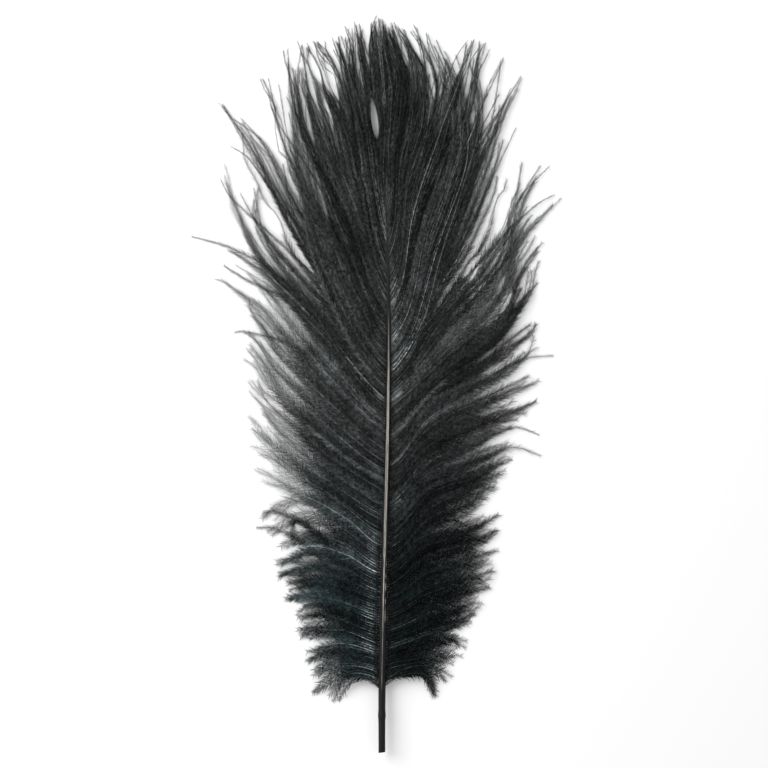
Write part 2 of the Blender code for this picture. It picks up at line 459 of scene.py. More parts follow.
def curve_through(points, leave):
    """A smooth plan curve through the points, leaving the first one along a direction."""
    points = np.array(points, float)
    steps = np.linalg.norm(np.diff(points, axis=0), axis=1)
    knots = np.concatenate(((0.0,), np.cumsum(steps)))
    slopes = np.empty_like(points)
    slopes[0] = leave
    slopes[1:-1] = (points[2:] - points[:-2]) / (knots[2:] - knots[:-2])[:, None]
    slopes[-1] = 1.3 * (points[-1] - points[-2]) / steps[-1] - 0.3 * slopes[-2]
    fine = []
    for start in range(len(steps)):
        share = np.linspace(0.0, 1.0, CURVE_STEPS)[:, None]
        square, cube = share ** 2, share ** 3
        fine.append(
            (2 * cube - 3 * square + 1) * points[start]
            + (cube - 2 * square + share) * steps[start] * slopes[start]
            + (3 * square - 2 * cube) * points[start + 1]
            + (cube - square) * steps[start] * slopes[start + 1]
        )
    return even_steps(np.concatenate(fine))


def even_steps(line, reach=1.0):
    """The line again, at evenly spaced stations, as far as a share of its length."""
    steps = np.linalg.norm(np.diff(line, axis=0), axis=1)
    run = np.concatenate(((0.0,), np.cumsum(steps)))
    places = np.linspace(0.0, run[-1] * reach, STATIONS)
    return np.column_stack([np.interp(places, run, line[:, axis]) for axis in range(line.shape[1])])


def root_place(side, root):
    """Plan place in millimetres, from the cut end, where a barb leaves the shaft."""
    centre, _, half = shaft_at(root)
    inset = between(root, SHAFT_THINS, (0.8, 0.25))
    return np.array(((centre - CUT[0]) / MM + side * inset * half / MM, root))


def leaving(side, root):
    """Direction in plan of a barb where it leaves the shaft."""
    angle = np.radians(between(root, ANGLE_ALONG, LEAVING_ANGLE))
    return np.array((side * np.sin(angle), np.cos(angle)))


def plan_path(side, guide):
    root, *points = guide
    return curve_through([root_place(side, root)] + points, leaving(side, root))


def guide_paths(side, guides):
    guides = guides + (TERMINAL,)
    roots = np.array([guide[0] for guide in guides], float)
    return roots, np.array([plan_path(side, guide) for guide in guides])


def barb_roots(rng):
    """Places of the barbs along the shaft, closer together towards its tip."""
    roots, place = [], float(ROOT_SPACING_ALONG[0]) + 0.5
    while place < TERMINAL[0] - 1.0:
        roots.append(place + rng.uniform(-ROOT_JITTER, ROOT_JITTER))
        place += between(place, ROOT_SPACING_ALONG, ROOT_SPACING)
    return np.array(roots)


def wander(rng, share, size):
    """A slow sideways wander that grows from nothing at the root."""
    waves = sum(
        rng.uniform(0.4, 1.0) * np.sin(rng.uniform(3.0, 9.0) * share + rng.uniform(*ANY_PHASE))
        for wave in range(2)
    )
    return size * share ** 1.4 * waves


def sideways(plan):
    """Unit vectors to the left of a path in plan."""
    along = np.gradient(plan, axis=0)
    across = np.column_stack((-along[:, 1], along[:, 0]))
    return across / (np.linalg.norm(across, axis=1)[:, None] + 1e-9)


def rippled(rng, roots, paths):
    """The guide paths with the slight waves that the barbs of one lock share."""
    share = np.linspace(0.0, 1.0, STATIONS)
    shaken = []
    for root, path in zip(roots, paths):
        waves = np.sin(rng.uniform(9.0, 20.0) * share + rng.uniform(*ANY_PHASE))
        waves *= between(root, CLUMP_ALONG, LOCK_RIPPLE) * share ** 1.5
        shaken.append(path + sideways(path) * waves[:, None])
    return shaken


def finished_barb(rng, plan, root, layer, slim=1.0):
    """A barb's points in metres and its fibre values, from its path in plan."""
    share = np.linspace(0.0, 1.0, STATIONS)
    start, half = shaft_at(root)[1:]
    rise = start + 0.7 * half * between(root, SHAFT_THINS, (0.0, 1.0))
    ends = rng.uniform(*TIP_HEIGHT) + TIP_LAYER * max(layer, 0.0)
    arch = (ARCH_HEIGHT + ARCH_LAYER * layer) * ARCH_SHAPE * share * (1.0 - share) ** 1.3
    height = rise / MM * (1.0 - share) ** 0.9 + ends * share + arch
    points = np.column_stack((plan + CUT / MM, height)) * MM
    points[:, 2] = np.maximum(points[:, 2], LOWEST_LINE * MM)
    run = np.linalg.norm(np.diff(points, axis=0), axis=1).sum() / MM
    out = share * run
    fluff = between(root, FLUFF_ALONG, FLUFF_LENGTH) * rng.uniform(*BARB_VARIES) * slim
    fluff = fluff * (0.5 + 0.5 * smooth(*FULL_FLUFF, out)) * smooth(-0.5, 1.5, out)
    fluff = fluff * (1.0 - between(root, (100, 220), (0.4, 0.5)) * smooth(0.75, 1.0, share))
    lean = np.radians(between(root, LEAN_ALONG, LEAN_ANGLE) * rng.uniform(*BARB_VARIES))
    lean = lean * (1.0 - 0.2 * smooth(0.3, 1.0, share))
    thick = RIB_RADIUS + RIB_FOOT * np.exp(-out / RIB_FOOT_LENGTH) - RIB_THINS * share
    return {
        "points": points, "run": run, "root": root, "along": share,
        "fluff": fluff * MM, "lean": lean, "thick": thick * MM,
        # Ribs are paler at random past their feet; the paler ones also stand in for the highlights
        # along the strands, a painted highlight.
        "pale": 0.3 + (0.3 + 5.5 * rng.random() ** 2.4) * smooth(1.5, 5.0, out),
        "fine": 1.6 - between(root, (90, 150), (0.5, 0.8)) * smooth(0.45, 0.85, share),
    }


def paint_highlit_feet(rng, side, barb):
    """Lighten the feet of the left barbs, low down and at the tip: a painted highlight where the light
    from the left catches them. Low down their fluff is also thinned.
    """
    out = barb["along"] * barb["run"]
    root = barb["root"]
    if side == LEFT and 42.0 < root < 115.0:
        barb["pale"] += rng.uniform(0.5, 5.5) * smooth(3.0, 5.0, out) * (1.0 - smooth(6.0, 15.0, out))
        barb["fluff"] *= 0.5 + 0.5 * smooth(4.0, 12.0, out)
    if side == LEFT and root > 282.0 and rng.random() < 0.5:
        barb["pale"] += rng.uniform(3.0, 14.0) * smooth(1.5, 5.0, out) * (1.0 - smooth(9.0, 20.0, out))


def guides_around(roots, root):
    """Number of the next guide along the shaft, and how far along towards it a place is."""
    after = int(np.clip(np.searchsorted(roots, root), 1, len(roots) - 1))
    return after, (root - roots[after - 1]) / (roots[after] - roots[after - 1])


def one_barb(rng, side, root, roots, paths, locks):
    """A barb between its two nearest guides, drawn towards the nearer one's tip."""
    after, weight = guides_around(roots, root)
    weight = np.clip(weight, 0.0, 1.0)
    nearest = after - 1 + int(weight > 0.5)
    share = np.linspace(0.0, 1.0, STATIONS)
    plan = (1.0 - weight) * paths[after - 1] + weight * paths[after]
    offset = 2.0 * abs(weight - float(weight > 0.5))
    loose = rng.random() < between(root, CLUMP_ALONG, LOOSE_SHARE)
    leader = 0.0 if loose else 1.0 - smooth(0.1, 0.5, offset)
    strength = between(root, CLUMP_ALONG, CLUMP_PULL) * rng.uniform(*PULL_VARIES)
    if side == RIGHT:
        strength *= between(root, (100, 140), (0.55, 1.0))
    strength = LOOSE_PULL * strength if loose else max(strength, LEADER_PULL * leader)
    pull = strength * smooth(between(root, CLUMP_ALONG, CLUMP_START), 0.98, share)
    plan = plan + pull[:, None] * (paths[nearest] - plan)
    steadied = LOOSE_SWING if loose else 1.0 - 0.6 * leader
    swing = between(root, SWING_ALONG, SWING) * steadied
    curl = between(root, CLUMP_ALONG, TIP_CURL) * rng.uniform(*CURL_VARIES)
    waves = np.sin(rng.uniform(*CURL_WAVES) * share + rng.uniform(*ANY_PHASE))
    plan = plan + sideways(plan) * (wander(rng, share, swing) + curl * share ** 2 * waves)[:, None]
    shortest = between(root, CLUMP_ALONG, SHORTEST)
    if side == RIGHT:
        shortest += between(root, (100, 150), (-0.02, 0.0))
    reach = 1.0 - (1.0 - shortest) * rng.random() * (0.3 + 0.7 * offset) * (1.0 - leader)
    layer = locks[nearest, 0] + rng.uniform(*LAYER_VARIES)
    plan, near = drawn_apart(rng, even_steps(plan, reach))
    barb = finished_barb(rng, plan, root, layer)
    barb["fluff"] *= 1.0 - PARTING_BARES * near
    barb["tone"] = min(locks[nearest, 1] * np.exp(rng.normal(0.0, TONE_VARIES)), LIGHTEST_TONE)
    return barb


def undercoat(rng, paths, roots):
    """Short barbs low beside the shaft, which close the vane's foot."""
    for root in np.arange(*UNDERCOAT_ENDS, UNDERCOAT_SPACING):
        after, weight = guides_around(roots, root)
        plan = (1.0 - weight) * paths[after - 1] + weight * paths[after]
        length = np.linalg.norm(np.diff(plan, axis=0), axis=1).sum()
        reach = UNDERCOAT_REACH * rng.uniform(*UNDERCOAT_VARIES) / length
        barb = finished_barb(rng, even_steps(plan, reach), root, UNDERCOAT_LAYER)
        for key in POINT_VALUES + ("points",):
            barb[key] = barb[key][::UNDERCOAT_STEP]
        barb["points"][:, 2] *= UNDERCOAT_HEIGHT
        barb["tone"] = UNDERCOAT_TONE
        yield barb


def drawn_apart(rng, plan):
    """Open the partings: move a path to one side of each, and tell how near it then is to one."""
    near = np.zeros(len(plan))
    for start, end, half in PARTINGS:
        half = half * rng.uniform(*PARTING_VARIES)
        slip = rng.normal(0.0, PARTING_SLIP)
        start, end = np.array(start, float), np.array(end, float)
        length = np.linalg.norm(end - start)
        axis = (end - start) / length
        normal = np.array((-axis[1], axis[0]))
        place = plan - (start + end) / 2.0 - slip * length * axis
        round_off = np.sqrt(np.clip(1.0 - (place @ axis / (length / 2.0)) ** 2, 0.0, 1.0))
        width, apart = half * round_off, place @ normal
        inside = (round_off > 0.0) & (np.abs(apart) < 2.0 * width)
        if not inside.any():
            continue
        side = 1.0 if apart[inside].sum() > 0.0 else -1.0
        moved = side * (width + np.maximum(side * apart, 0.0) / 2.0)
        plan = plan + normal * np.where(inside, moved - apart, 0.0)[:, None]
        near = np.maximum(near, np.where(inside, round_off, 0.0))
    return plan, near


def lock_values(rng, count):
    """Layer and tone of each lock."""
    return np.column_stack((rng.uniform(-1.0, 1.0, count), np.exp(rng.normal(-0.05, 0.3, count))))


def density_and_painted_side_light(side, barb):
    """Give each vane its own density, and paint light and shade on the sides. The left is thinner half
    way up, and its tone is lighter there: painted light from the lamp on the left. The right's tone is
    darker low down and at the top: painted shade. Its ribs are paler from 185 to 255 mm.
    """
    root = barb["root"]
    if side == LEFT:
        thin = between(root, (100, 112, 190, 240), (0.0, 0.6, 0.5, 0.0))
        barb["fine"] *= 1.0 - thin * smooth(0.3, 0.7, barb["along"])
        # Painted light: the left vane's tone is lighter, as it faces the lamp.
        barb["tone"] *= between(root, (90, 130, 170, 215), (2.1, 1.95, 1.6, 1.0))
    else:
        # Painted shade: the right vane's tone is darker, turned away from the lamp.
        barb["tone"] *= between(root, (80, 150, 210, 250), (0.78, 0.88, 1.1, 0.72))
        barb["pale"] *= between(root, (185, 205, 240, 255), (1.0, 3.2, 3.2, 1.0))
        broader = 0.25 - 0.5 * smooth(0.78, 0.98, barb["along"])
        barb["fine"] *= 1.0 + between(root, (120, 150), (1.0, 0.0)) * broader


def barbs_of(side, guides, steep_guides, strays, seed):
    rng = np.random.default_rng(seed)
    roots, paths = guide_paths(side, guides)
    steep_roots, steep_paths = guide_paths(side, steep_guides)
    paths, steep_paths = rippled(rng, roots, paths), rippled(rng, steep_roots, steep_paths)
    locks, steep_locks = lock_values(rng, len(roots)), lock_values(rng, len(steep_roots))
    barbs = []
    for root in barb_roots(rng):
        if rng.random() < between(root, STEEP_SHARE_ALONG, STEEP_SHARE):
            barb = one_barb(rng, side, root, steep_roots, steep_paths, steep_locks)
        else:
            barb = one_barb(rng, side, root, roots, paths, locks)
        paint_highlit_feet(rng, side, barb)
        density_and_painted_side_light(side, barb)
        barbs.append(barb)
    barbs.extend(undercoat(rng, paths, roots))
    for stray in strays:
        barb = finished_barb(rng, plan_path(side, stray), stray[0], STRAY_LAYER, STRAY_SLIM)
        barb["tone"] = STRAY_TONE
        barbs.append(barb)
    return sorted(barbs, key=lambda barb: barb["root"])


# ----------------------------------------------------- barbules, node by node

TUFT_SHAPES = ((0.10, 0.05, 0.02), (0.02, -0.06, 0.05), (-0.07, 0.07, -0.02), (0.16, 0.0, 0.06))
BARBULE_HALF_WIDTH = 0.017
TUFT_FOOT = 0.075, -0.06

# How the tufts vary: their lean, their pitch in radians and their length.
LEAN_VARIES = (0.75, 1.25)
PITCH = (-0.05, 0.5)
LENGTH_VARIES = (0.6, 1.15)

# A tuft's breadth as a share of its length and what is added to it, and the shortest kept.
BREADTH_SHARE = 0.5
BREADTH_ADDED = 0.0028
SHORTEST_BARBULE = 0.0004

# Shares of a barb's band on its map, and how far a tuft spreads along the band.
RIB_STRIP = 0.12
ROW_STRIP_STARTS, ROW_STRIP = 0.17, 0.3
TUFT_SPREAD = 0.03
MAP_MARGIN = 0.01


def tuft_mesh(number, bend, spread, arch):
    """Three barbules, one unit long, whose tips lean together; the last is a plain blade."""
    half = BARBULE_HALF_WIDTH
    verts, faces = [], []
    for foot, tip, long in ((-1.0, -0.35, 0.92), (0.0, 0.1, 1.0), (1.0, 0.5, 0.85)):
        first = len(verts)
        x, y = foot * TUFT_FOOT[0], foot * TUFT_FOOT[1]
        end = (long, -bend + tip * spread, 0.4 * arch)
        if foot > 0.5:
            verts += [(x, y - half, 0.0), (x, y + half, 0.0), end]
            faces.append((first, first + 2, first + 1))
            continue
        middle = (0.5 * (x + end[0]), 0.5 * (y + end[1]) + 0.45 * bend, arch)
        verts += [
            (x, y - half, 0.0), (x, y + half, 0.0),
            (middle[0], middle[1] - 0.8 * half, middle[2]),
            (middle[0], middle[1] + 0.8 * half, middle[2]), end,
        ]
        faces += [(first, first + 2, first + 3, first + 1), (first + 2, first + 4, first + 3)]
    mesh = bpy.data.meshes.new(f"tuft_{number}")
    mesh.from_pydata(verts, (), faces)
    for name, axis in (("out", 0), ("across", 1)):
        add_values(mesh, name, [vert[axis] for vert in verts])
    return mesh


def tuft_shapes():
    """The small tufts of barbules that the node tree picks from at random."""
    shapes = bpy.data.collections.new("tuft_shapes")
    for number, shape in enumerate(TUFT_SHAPES):
        mesh = tuft_mesh(number, *shape)
        shapes.objects.link(bpy.data.objects.new(mesh.name, mesh))
    return shapes


def named(tree, name, kind="FLOAT"):
    node = add_node(tree, "GeometryNodeInputNamedAttribute", {"Name": name}, data_type=kind)
    return node.outputs["Attribute"]


def random_between(tree, low, high, seed, whole=False):
    node = add_node(tree, "FunctionNodeRandomValue", data_type="INT" if whole else "FLOAT")
    first = 4 if whole else 2
    wire(tree, node.inputs[first], low)
    wire(tree, node.inputs[first + 1], high)
    wire(tree, node.inputs["Seed"], seed)
    return node.outputs[2 if whole else 1]


def barbule_row(tree, curve, group, turn, seed):
    """Instances of barbules along one side of every barb; turn is 1 for the left, -1 for the right."""
    tangent = add_node(tree, "GeometryNodeInputTangent").outputs[0]
    frame_axes = add_node(
        tree, "FunctionNodeAxesToRotation",
        {"Primary Axis": tangent, "Secondary Axis": (0.0, 0.0, 1.0)},
        primary_axis="X", secondary_axis="Z",
    )
    lean = product(tree, named(tree, "lean"), random_between(tree, *LEAN_VARIES, seed), turn)
    most_roll = group.outputs["Barbule Roll"]
    roll = random_between(tree, maths(tree, "MULTIPLY", most_roll, -1.0), most_roll, seed + 1)
    if turn < 0.0:
        roll = maths(tree, "ADD", roll, np.pi)
    pitch = random_between(tree, *PITCH, seed + 2)
    turned = add_node(tree, "ShaderNodeCombineXYZ", {"X": roll, "Y": pitch, "Z": lean})
    euler = add_node(tree, "FunctionNodeEulerToRotation", {"Euler": turned.outputs[0]})
    rotation = add_node(
        tree, "FunctionNodeRotateRotation",
        {"Rotation": frame_axes.outputs[0], "Rotate By": euler.outputs[0]},
        rotation_space="LOCAL",
    )
    shapes = add_node(
        tree, "GeometryNodeCollectionInfo",
        {"Collection": group.outputs["Barbules"], "Separate Children": True, "Reset Children": True},
    )
    fluff = named(tree, "fluff")
    length = maths(tree, "MULTIPLY", fluff, random_between(tree, *LENGTH_VARIES, seed + 3))
    broad = maths(tree, "MULTIPLY_ADD", length, BREADTH_SHARE, BREADTH_ADDED)
    broad = maths(tree, "MULTIPLY", broad, named(tree, "fine"))
    scale = add_node(tree, "ShaderNodeCombineXYZ", {"X": length, "Y": broad, "Z": length})
    row = add_node(
        tree, "GeometryNodeInstanceOnPoints",
        {
            "Points": curve, "Instance": shapes.outputs[0], "Pick Instance": True,
            "Selection": maths(tree, "GREATER_THAN", fluff, SHORTEST_BARBULE),
            "Instance Index": random_between(tree, 0, len(TUFT_SHAPES) - 1, seed + 4, whole=True),
            "Rotation": rotation.outputs[0], "Scale": scale.outputs[0],
        },
    )
    return store(tree, row.outputs[0], "row", turn, domain="INSTANCE")


def store(tree, geometry, name, value, kind="FLOAT", domain="POINT"):
    node = add_node(
        tree, "GeometryNodeStoreNamedAttribute",
        {"Geometry": geometry, "Name": name}, data_type=kind, domain=domain,
    )
    wire(tree, node.inputs["Value"], value)
    return node.outputs[0]


def strip_map(tree, band_height):
    """Map places: a band a barb, with its rib in the middle and its two rows to either side."""
    row, out = named(tree, "row"), named(tree, "out")
    is_rib = maths(tree, "SUBTRACT", 1.0, maths(tree, "ABSOLUTE", row))
    beside = maths(tree, "MULTIPLY_ADD", out, ROW_STRIP, ROW_STRIP_STARTS)
    offset = maths(tree, "MULTIPLY_ADD", row, beside, maths(tree, "MULTIPLY", is_rib, out))
    v = maths(tree, "MULTIPLY_ADD", offset, band_height, named(tree, "band"))
    inward = maths(tree, "MULTIPLY_ADD", named(tree, "along"), 1.0 - 2.0 * MAP_MARGIN, MAP_MARGIN)
    u = maths(tree, "MULTIPLY_ADD", named(tree, "across"), TUFT_SPREAD, inward)
    return add_node(tree, "ShaderNodeCombineXYZ", {"X": u, "Y": v}).outputs[0]


TREE_INPUTS = (
    ("Centrelines", "Geometry", None),
    ("Barbule Spacing", "Float", 0.0012),
    ("Barbule Roll", "Float", 0.9),
    ("Lowest Point", "Float", 0.00012),
    ("Band Height", "Float", 0.01),
    ("Barbules", "Collection", None),
    ("Rib Finish", "Material", None),
    ("Barbule Finish", "Material", None),
)


def barb_tree():
    """Node tree: barb centrelines in, ribs with two rows of barbules on each out."""
    tree = bpy.data.node_groups.new("barbs_with_barbules", "GeometryNodeTree")
    for name, kind, default in TREE_INPUTS:
        socket = tree.interface.new_socket(name, in_out="INPUT", socket_type="NodeSocket" + kind)
        if default is not None:
            socket.default_value = default
    tree.interface.new_socket("Down", in_out="OUTPUT", socket_type="NodeSocketGeometry")
    group = add_node(tree, "NodeGroupInput")
    curve = add_node(tree, "GeometryNodeMeshToCurve", {"Mesh": group.outputs["Centrelines"]})
    curve = curve.outputs[0]

    profile = add_node(
        tree, "GeometryNodeCurvePrimitiveCircle", {"Resolution": 3, "Radius": 1.0}, mode="RADIUS"
    )
    index = add_node(tree, "GeometryNodeInputIndex").outputs[0]
    edge = maths(tree, "MULTIPLY", maths(tree, "SUBTRACT", index, 1.0), RIB_STRIP)
    rib = add_node(
        tree, "GeometryNodeCurveToMesh",
        {
            "Curve": curve, "Profile Curve": store(tree, profile.outputs[0], "out", edge),
            "Scale": named(tree, "thick"), "Fill Caps": True,
        },
    )
    rib = add_node(
        tree, "GeometryNodeSetMaterial",
        {"Geometry": rib.outputs[0], "Material": group.outputs["Rib Finish"]},
    )

    rows = add_node(tree, "GeometryNodeResampleCurve", {"Curve": curve}, mode="LENGTH")
    wire(tree, rows.inputs["Length"], group.outputs["Barbule Spacing"])
    down = add_node(tree, "GeometryNodeJoinGeometry")
    for number, turn in enumerate((1.0, -1.0)):
        row = barbule_row(tree, rows.outputs[0], group, turn, 10 + 10 * number)
        tree.links.new(row, down.inputs[0])
    down = add_node(
        tree, "GeometryNodeSetMaterial",
        {"Geometry": down.outputs[0], "Material": group.outputs["Barbule Finish"]},
    )

    whole = add_node(tree, "GeometryNodeJoinGeometry")
    tree.links.new(down.outputs[0], whole.inputs[0])
    tree.links.new(rib.outputs[0], whole.inputs[0])
    real = add_node(tree, "GeometryNodeRealizeInstances", {"Geometry": whole.outputs[0]})
    place = add_node(tree, "GeometryNodeInputPosition").outputs[0]
    parts = add_node(tree, "ShaderNodeSeparateXYZ", {"Vector": place})
    lifted = maths(tree, "MAXIMUM", parts.outputs["Z"], group.outputs["Lowest Point"])
    kept = add_node(
        tree, "ShaderNodeCombineXYZ",
        {"X": parts.outputs["X"], "Y": parts.outputs["Y"], "Z": lifted},
    )
    lying = add_node(
        tree, "GeometryNodeSetPosition",
        {"Geometry": real.outputs[0], "Position": kept.outputs[0]},
    )
    places = strip_map(tree, group.outputs["Band Height"])
    mapped = store(tree, lying.outputs[0], "OFBake", places, "FLOAT2", "CORNER")
    out = add_node(tree, "NodeGroupOutput")
    tree.links.new(mapped, out.inputs[0])
    return tree


def modifier_input(modifier, name, value):
    """Set a modifier's input by its socket's identifier."""
    items = modifier.node_group.interface.items_tree
    socket = next(item for item in items if item.name == name and item.in_out == "INPUT")
    modifier[socket.identifier] = value


# Values that only the node tree reads.
HELPER_VALUES = ("fluff", "lean", "thick", "along", "fine", "band", "out", "across", "row")


def centreline_object(name, barbs):
    """A mesh of edges only: one chain of edges a barb, with its fibre values on the points."""
    verts, edges = [], []
    values = {key: [] for key in POINT_VALUES + ("tone", "band")}
    for number, barb in enumerate(barbs):
        first, count = len(verts), len(barb["points"])
        verts.extend(barb["points"])
        edges.extend((first + step, first + step + 1) for step in range(count - 1))
        for key in POINT_VALUES:
            values[key].extend(barb[key])
        values["tone"].extend([barb["tone"]] * count)
        values["band"].extend([(number + 0.5) / len(barbs)] * count)
    mesh = bpy.data.meshes.new(name)
    mesh.from_pydata(verts, edges, ())
    for key, numbers in values.items():
        add_values(mesh, key, numbers)
    return place_object(name, mesh)


def grow(name, barbs, settings, tree, shapes, finishes):
    """Run the node tree over some barbs and keep the result as a plain mesh piece."""
    lines = centreline_object(name + "_lines", barbs)
    modifier = lines.modifiers.new("barbules", "NODES")
    modifier.node_group = tree
    values = (
        ("Barbule Spacing", settings.barbule_spacing), ("Band Height", 1.0 / len(barbs)),
        ("Barbules", shapes), ("Rib Finish", finishes[0]), ("Barbule Finish", finishes[1]),
    )
    for input_name, value in values:
        modifier_input(modifier, input_name, value)
    evaluated = lines.evaluated_get(bpy.context.evaluated_depsgraph_get())
    mesh = bpy.data.meshes.new_from_object(evaluated)
    mesh.name = name
    for helper in HELPER_VALUES:
        mesh.attributes.remove(mesh.attributes[helper])
    bpy.data.objects.remove(lines)
    return place_object(name, mesh)


# ------------------------------------------------------------------- finishes


def new_material(name, roughness, specular):
    material = bpy.data.materials.new(name)
    material.use_nodes = True
    shader = material.node_tree.nodes["Principled BSDF"]
    shader.inputs["Roughness"].default_value = roughness
    shader.inputs["Specular IOR Level"].default_value = specular
    return material, material.node_tree, shader


def mix_colours(tree, share, first, second, blend="MIX"):
    node = add_node(tree, "ShaderNodeMix", data_type="RGBA", blend_type=blend)
    wire(tree, node.inputs[0], share)
    wire(tree, node.inputs[6], first)
    wire(tree, node.inputs[7], second)
    return node.outputs[2]


# Between which places on +Y the down turns from the cool colour to the warm one.
WARMS_ALONG = (-0.11, -0.02)


def down_material(name, colours, lift, roughness, specular, ribs):
    """Dyed black fibre: cool at the fluffy base, lighter higher up, with a tone for each barb. The
    tone is partly random and partly painted light and shade on the two vanes.
    """
    material, tree, shader = new_material(name, roughness, specular)
    place = add_node(tree, "ShaderNodeTexCoord").outputs["Object"]
    parts = add_node(tree, "ShaderNodeSeparateXYZ", {"Vector": place})
    body = mix_colours(tree, ramp(tree, parts.outputs["Y"], *WARMS_ALONG), colours.cool, colours.warm)
    patchy = ramp(tree, noise(tree, place, 60.0, 0.5), 0.3, 0.7, (0.65, 1.6))
    grainy = ramp(tree, noise(tree, place, 650.0, 0.6), 0.35, 0.65, (0.45, 1.6))
    strength = product(tree, patchy, grainy, attribute(tree, "tone"), lift)
    # Ribs lighten and tint towards the pale rib colour by their pale value: partly random tone, partly
    # painted highlights along the strands and on the left barbs' feet.
    if ribs:
        pale = attribute(tree, "pale")
        strength = maths(tree, "MULTIPLY", strength, pale)
        share = maths(tree, "MINIMUM", maths(tree, "MULTIPLY", pale, 0.25), 1.0)
        body = mix_colours(tree, share, body, colours.pale_tint)
    grey = add_node(tree, "ShaderNodeCombineXYZ", {"X": strength, "Y": strength, "Z": strength})
    colour = mix_colours(tree, 1.0, body, grey.outputs[0], "MULTIPLY")
    wire(tree, shader.inputs["Base Color"], colour)
    return material


def streak_values(root, half):
    """Half width of the rubbed streak in turns, how far its middle stays dark, and its strength."""
    width = between(root, STREAK_ALONG, STREAK_WIDTH) * MM
    turns = np.arcsin(min(0.5 * width / half, 0.95)) / (2.0 * np.pi)
    split, strength = (
        between(root, STREAK_ALONG, table) for table in (STREAK_SPLIT, STREAK_STRENGTH)
    )
    return turns, split, strength


def shaft_material(colours):
    """Black horn whose groove shows a pale rubbed streak between the lowest barbs and mid length."""
    material, tree, shader = new_material("shaft_horn", 0.42, 0.16)
    uv = add_node(tree, "ShaderNodeUVMap", uv_map="shaft_map").outputs[0]
    parts = add_node(tree, "ShaderNodeSeparateXYZ", {"Vector": uv})
    around, along = parts.outputs["X"], parts.outputs["Y"]
    place = add_node(tree, "ShaderNodeTexCoord").outputs["Object"]
    stretch = add_node(tree, "ShaderNodeMapping", {"Vector": place, "Scale": (1.0, 0.12, 1.0)})
    grain = noise(tree, stretch.outputs[0], 1800.0, 0.6, detail=3.0)
    blotches = noise(tree, place, 160.0, 0.5)
    wobble = maths(tree, "MULTIPLY", maths(tree, "SUBTRACT", blotches, 0.5), 0.02)
    shifted = maths(tree, "ADD", around, wobble)
    width, split, strength = (
        attribute(tree, name) for name in ("streak_width", "streak_split", "streak_strength")
    )
    distance = maths(tree, "ABSOLUTE", maths(tree, "SUBTRACT", shifted, STREAK_PLACE))
    soft = "SMOOTHSTEP"
    near = ramp(tree, distance, width, maths(tree, "MULTIPLY", width, 0.6), shape=soft)
    middle = ramp(tree, distance, maths(tree, "MULTIPLY", width, 0.5), 0.0, shape=soft)
    hollow = maths(tree, "SUBTRACT", 1.0, maths(tree, "MULTIPLY", middle, split))
    rub = ramp(tree, grain, 0.3, 0.62, (0.45, 1.0))
    pale_tint = product(tree, near, strength, hollow, rub)
    beside = maths(tree, "ABSOLUTE", maths(tree, "SUBTRACT", shifted, SECOND_LINE_PLACE))
    second = product(
        tree, ramp(tree, beside, 0.014, 0.006), ramp(tree, blotches, 0.45, 0.6), 0.7,
        ramp(tree, along, 0.215, 0.225), ramp(tree, along, 0.335, 0.325),
    )
    pale_tint = maths(tree, "MAXIMUM", pale_tint, second)
    colour = mix_colours(tree, pale_tint, colours.horn, colours.streak)
    wire(tree, shader.inputs["Base Color"], colour)
    bump = add_node(
        tree, "ShaderNodeBump", {"Strength": 0.35, "Distance": 0.00004, "Height": grain}
    )
    wire(tree, shader.inputs["Normal"], bump.outputs[0])
    return material


# ------------------------------------------------------------ the shaft's mesh

SHAFT_SIDES = 28
STREAK_PLACE = 0.262
SECOND_LINE_PLACE = 0.165
STREAK_ALONG = (33, 38, 60, 64, 68, 73, 78, 104, 108, 168, 172, 200, 228, 243)
STREAK_WIDTH = (0.3, 0.4, 0.5, 0.8, 1.1, 0.8, 0.75, 0.85, 1.4, 1.6, 1.5, 1.3, 0.5, 0.3)
STREAK_SPLIT = (0.0, 0.0, 0.0, 0.0, 0.0, 0.0, 0.0, 0.1, 0.7, 0.8, 0.5, 0.2, 0.0, 0.0)
STREAK_STRENGTH = (0.0, 0.35, 0.5, 0.35, 0.3, 0.45, 0.85, 0.9, 0.8, 0.8, 0.85, 0.7, 0.4, 0.0)
SHAFT_LENGTH = 315.0
GROOVE_STARTS = (40.0, 55.0)
GROOVE_DEPTH = 0.2
GROOVE_SPREAD = 0.42
QUILL_RINGS = (0.0, 40.0, 41)
RACHIS_RINGS = (41.5, SHAFT_LENGTH, 150)
MOUTH_SHARE = 1.35 / 1.85
MOUTH_DEPTH = 12.0
MOUTH_NARROWS_AT = 9.5
MOUTH_RING = 3.0
MOUTH_END = 0.6
CUT_SLANT = 0.14
SHARP_ANGLE = 40.0


def shaft_ring(root, scale, slant):
    """One ring: round at the quill, squarer and grooved on top above it."""
    centre, height, half = shaft_at(root)
    turn = 2.0 * np.pi * np.arange(SHAFT_SIDES) / SHAFT_SIDES
    grooved = float(smooth(*GROOVE_STARTS, root))
    power = 2.0 + 0.8 * grooved
    square = (np.abs(np.cos(turn)) ** power + np.abs(np.sin(turn)) ** power) ** (-1.0 / power)
    from_top = np.abs(np.angle(np.exp(1j * (turn - np.pi / 2.0))))
    dent = 1.0 - grooved * GROOVE_DEPTH * np.exp(-(from_top / GROOVE_SPREAD) ** 2)
    across = np.cos(turn) * square * dent * half * scale
    up = np.sin(turn) * square * dent * half * scale
    along = CUT[1] + root * MM + slant * across
    return np.column_stack((centre + across, along, height + up))


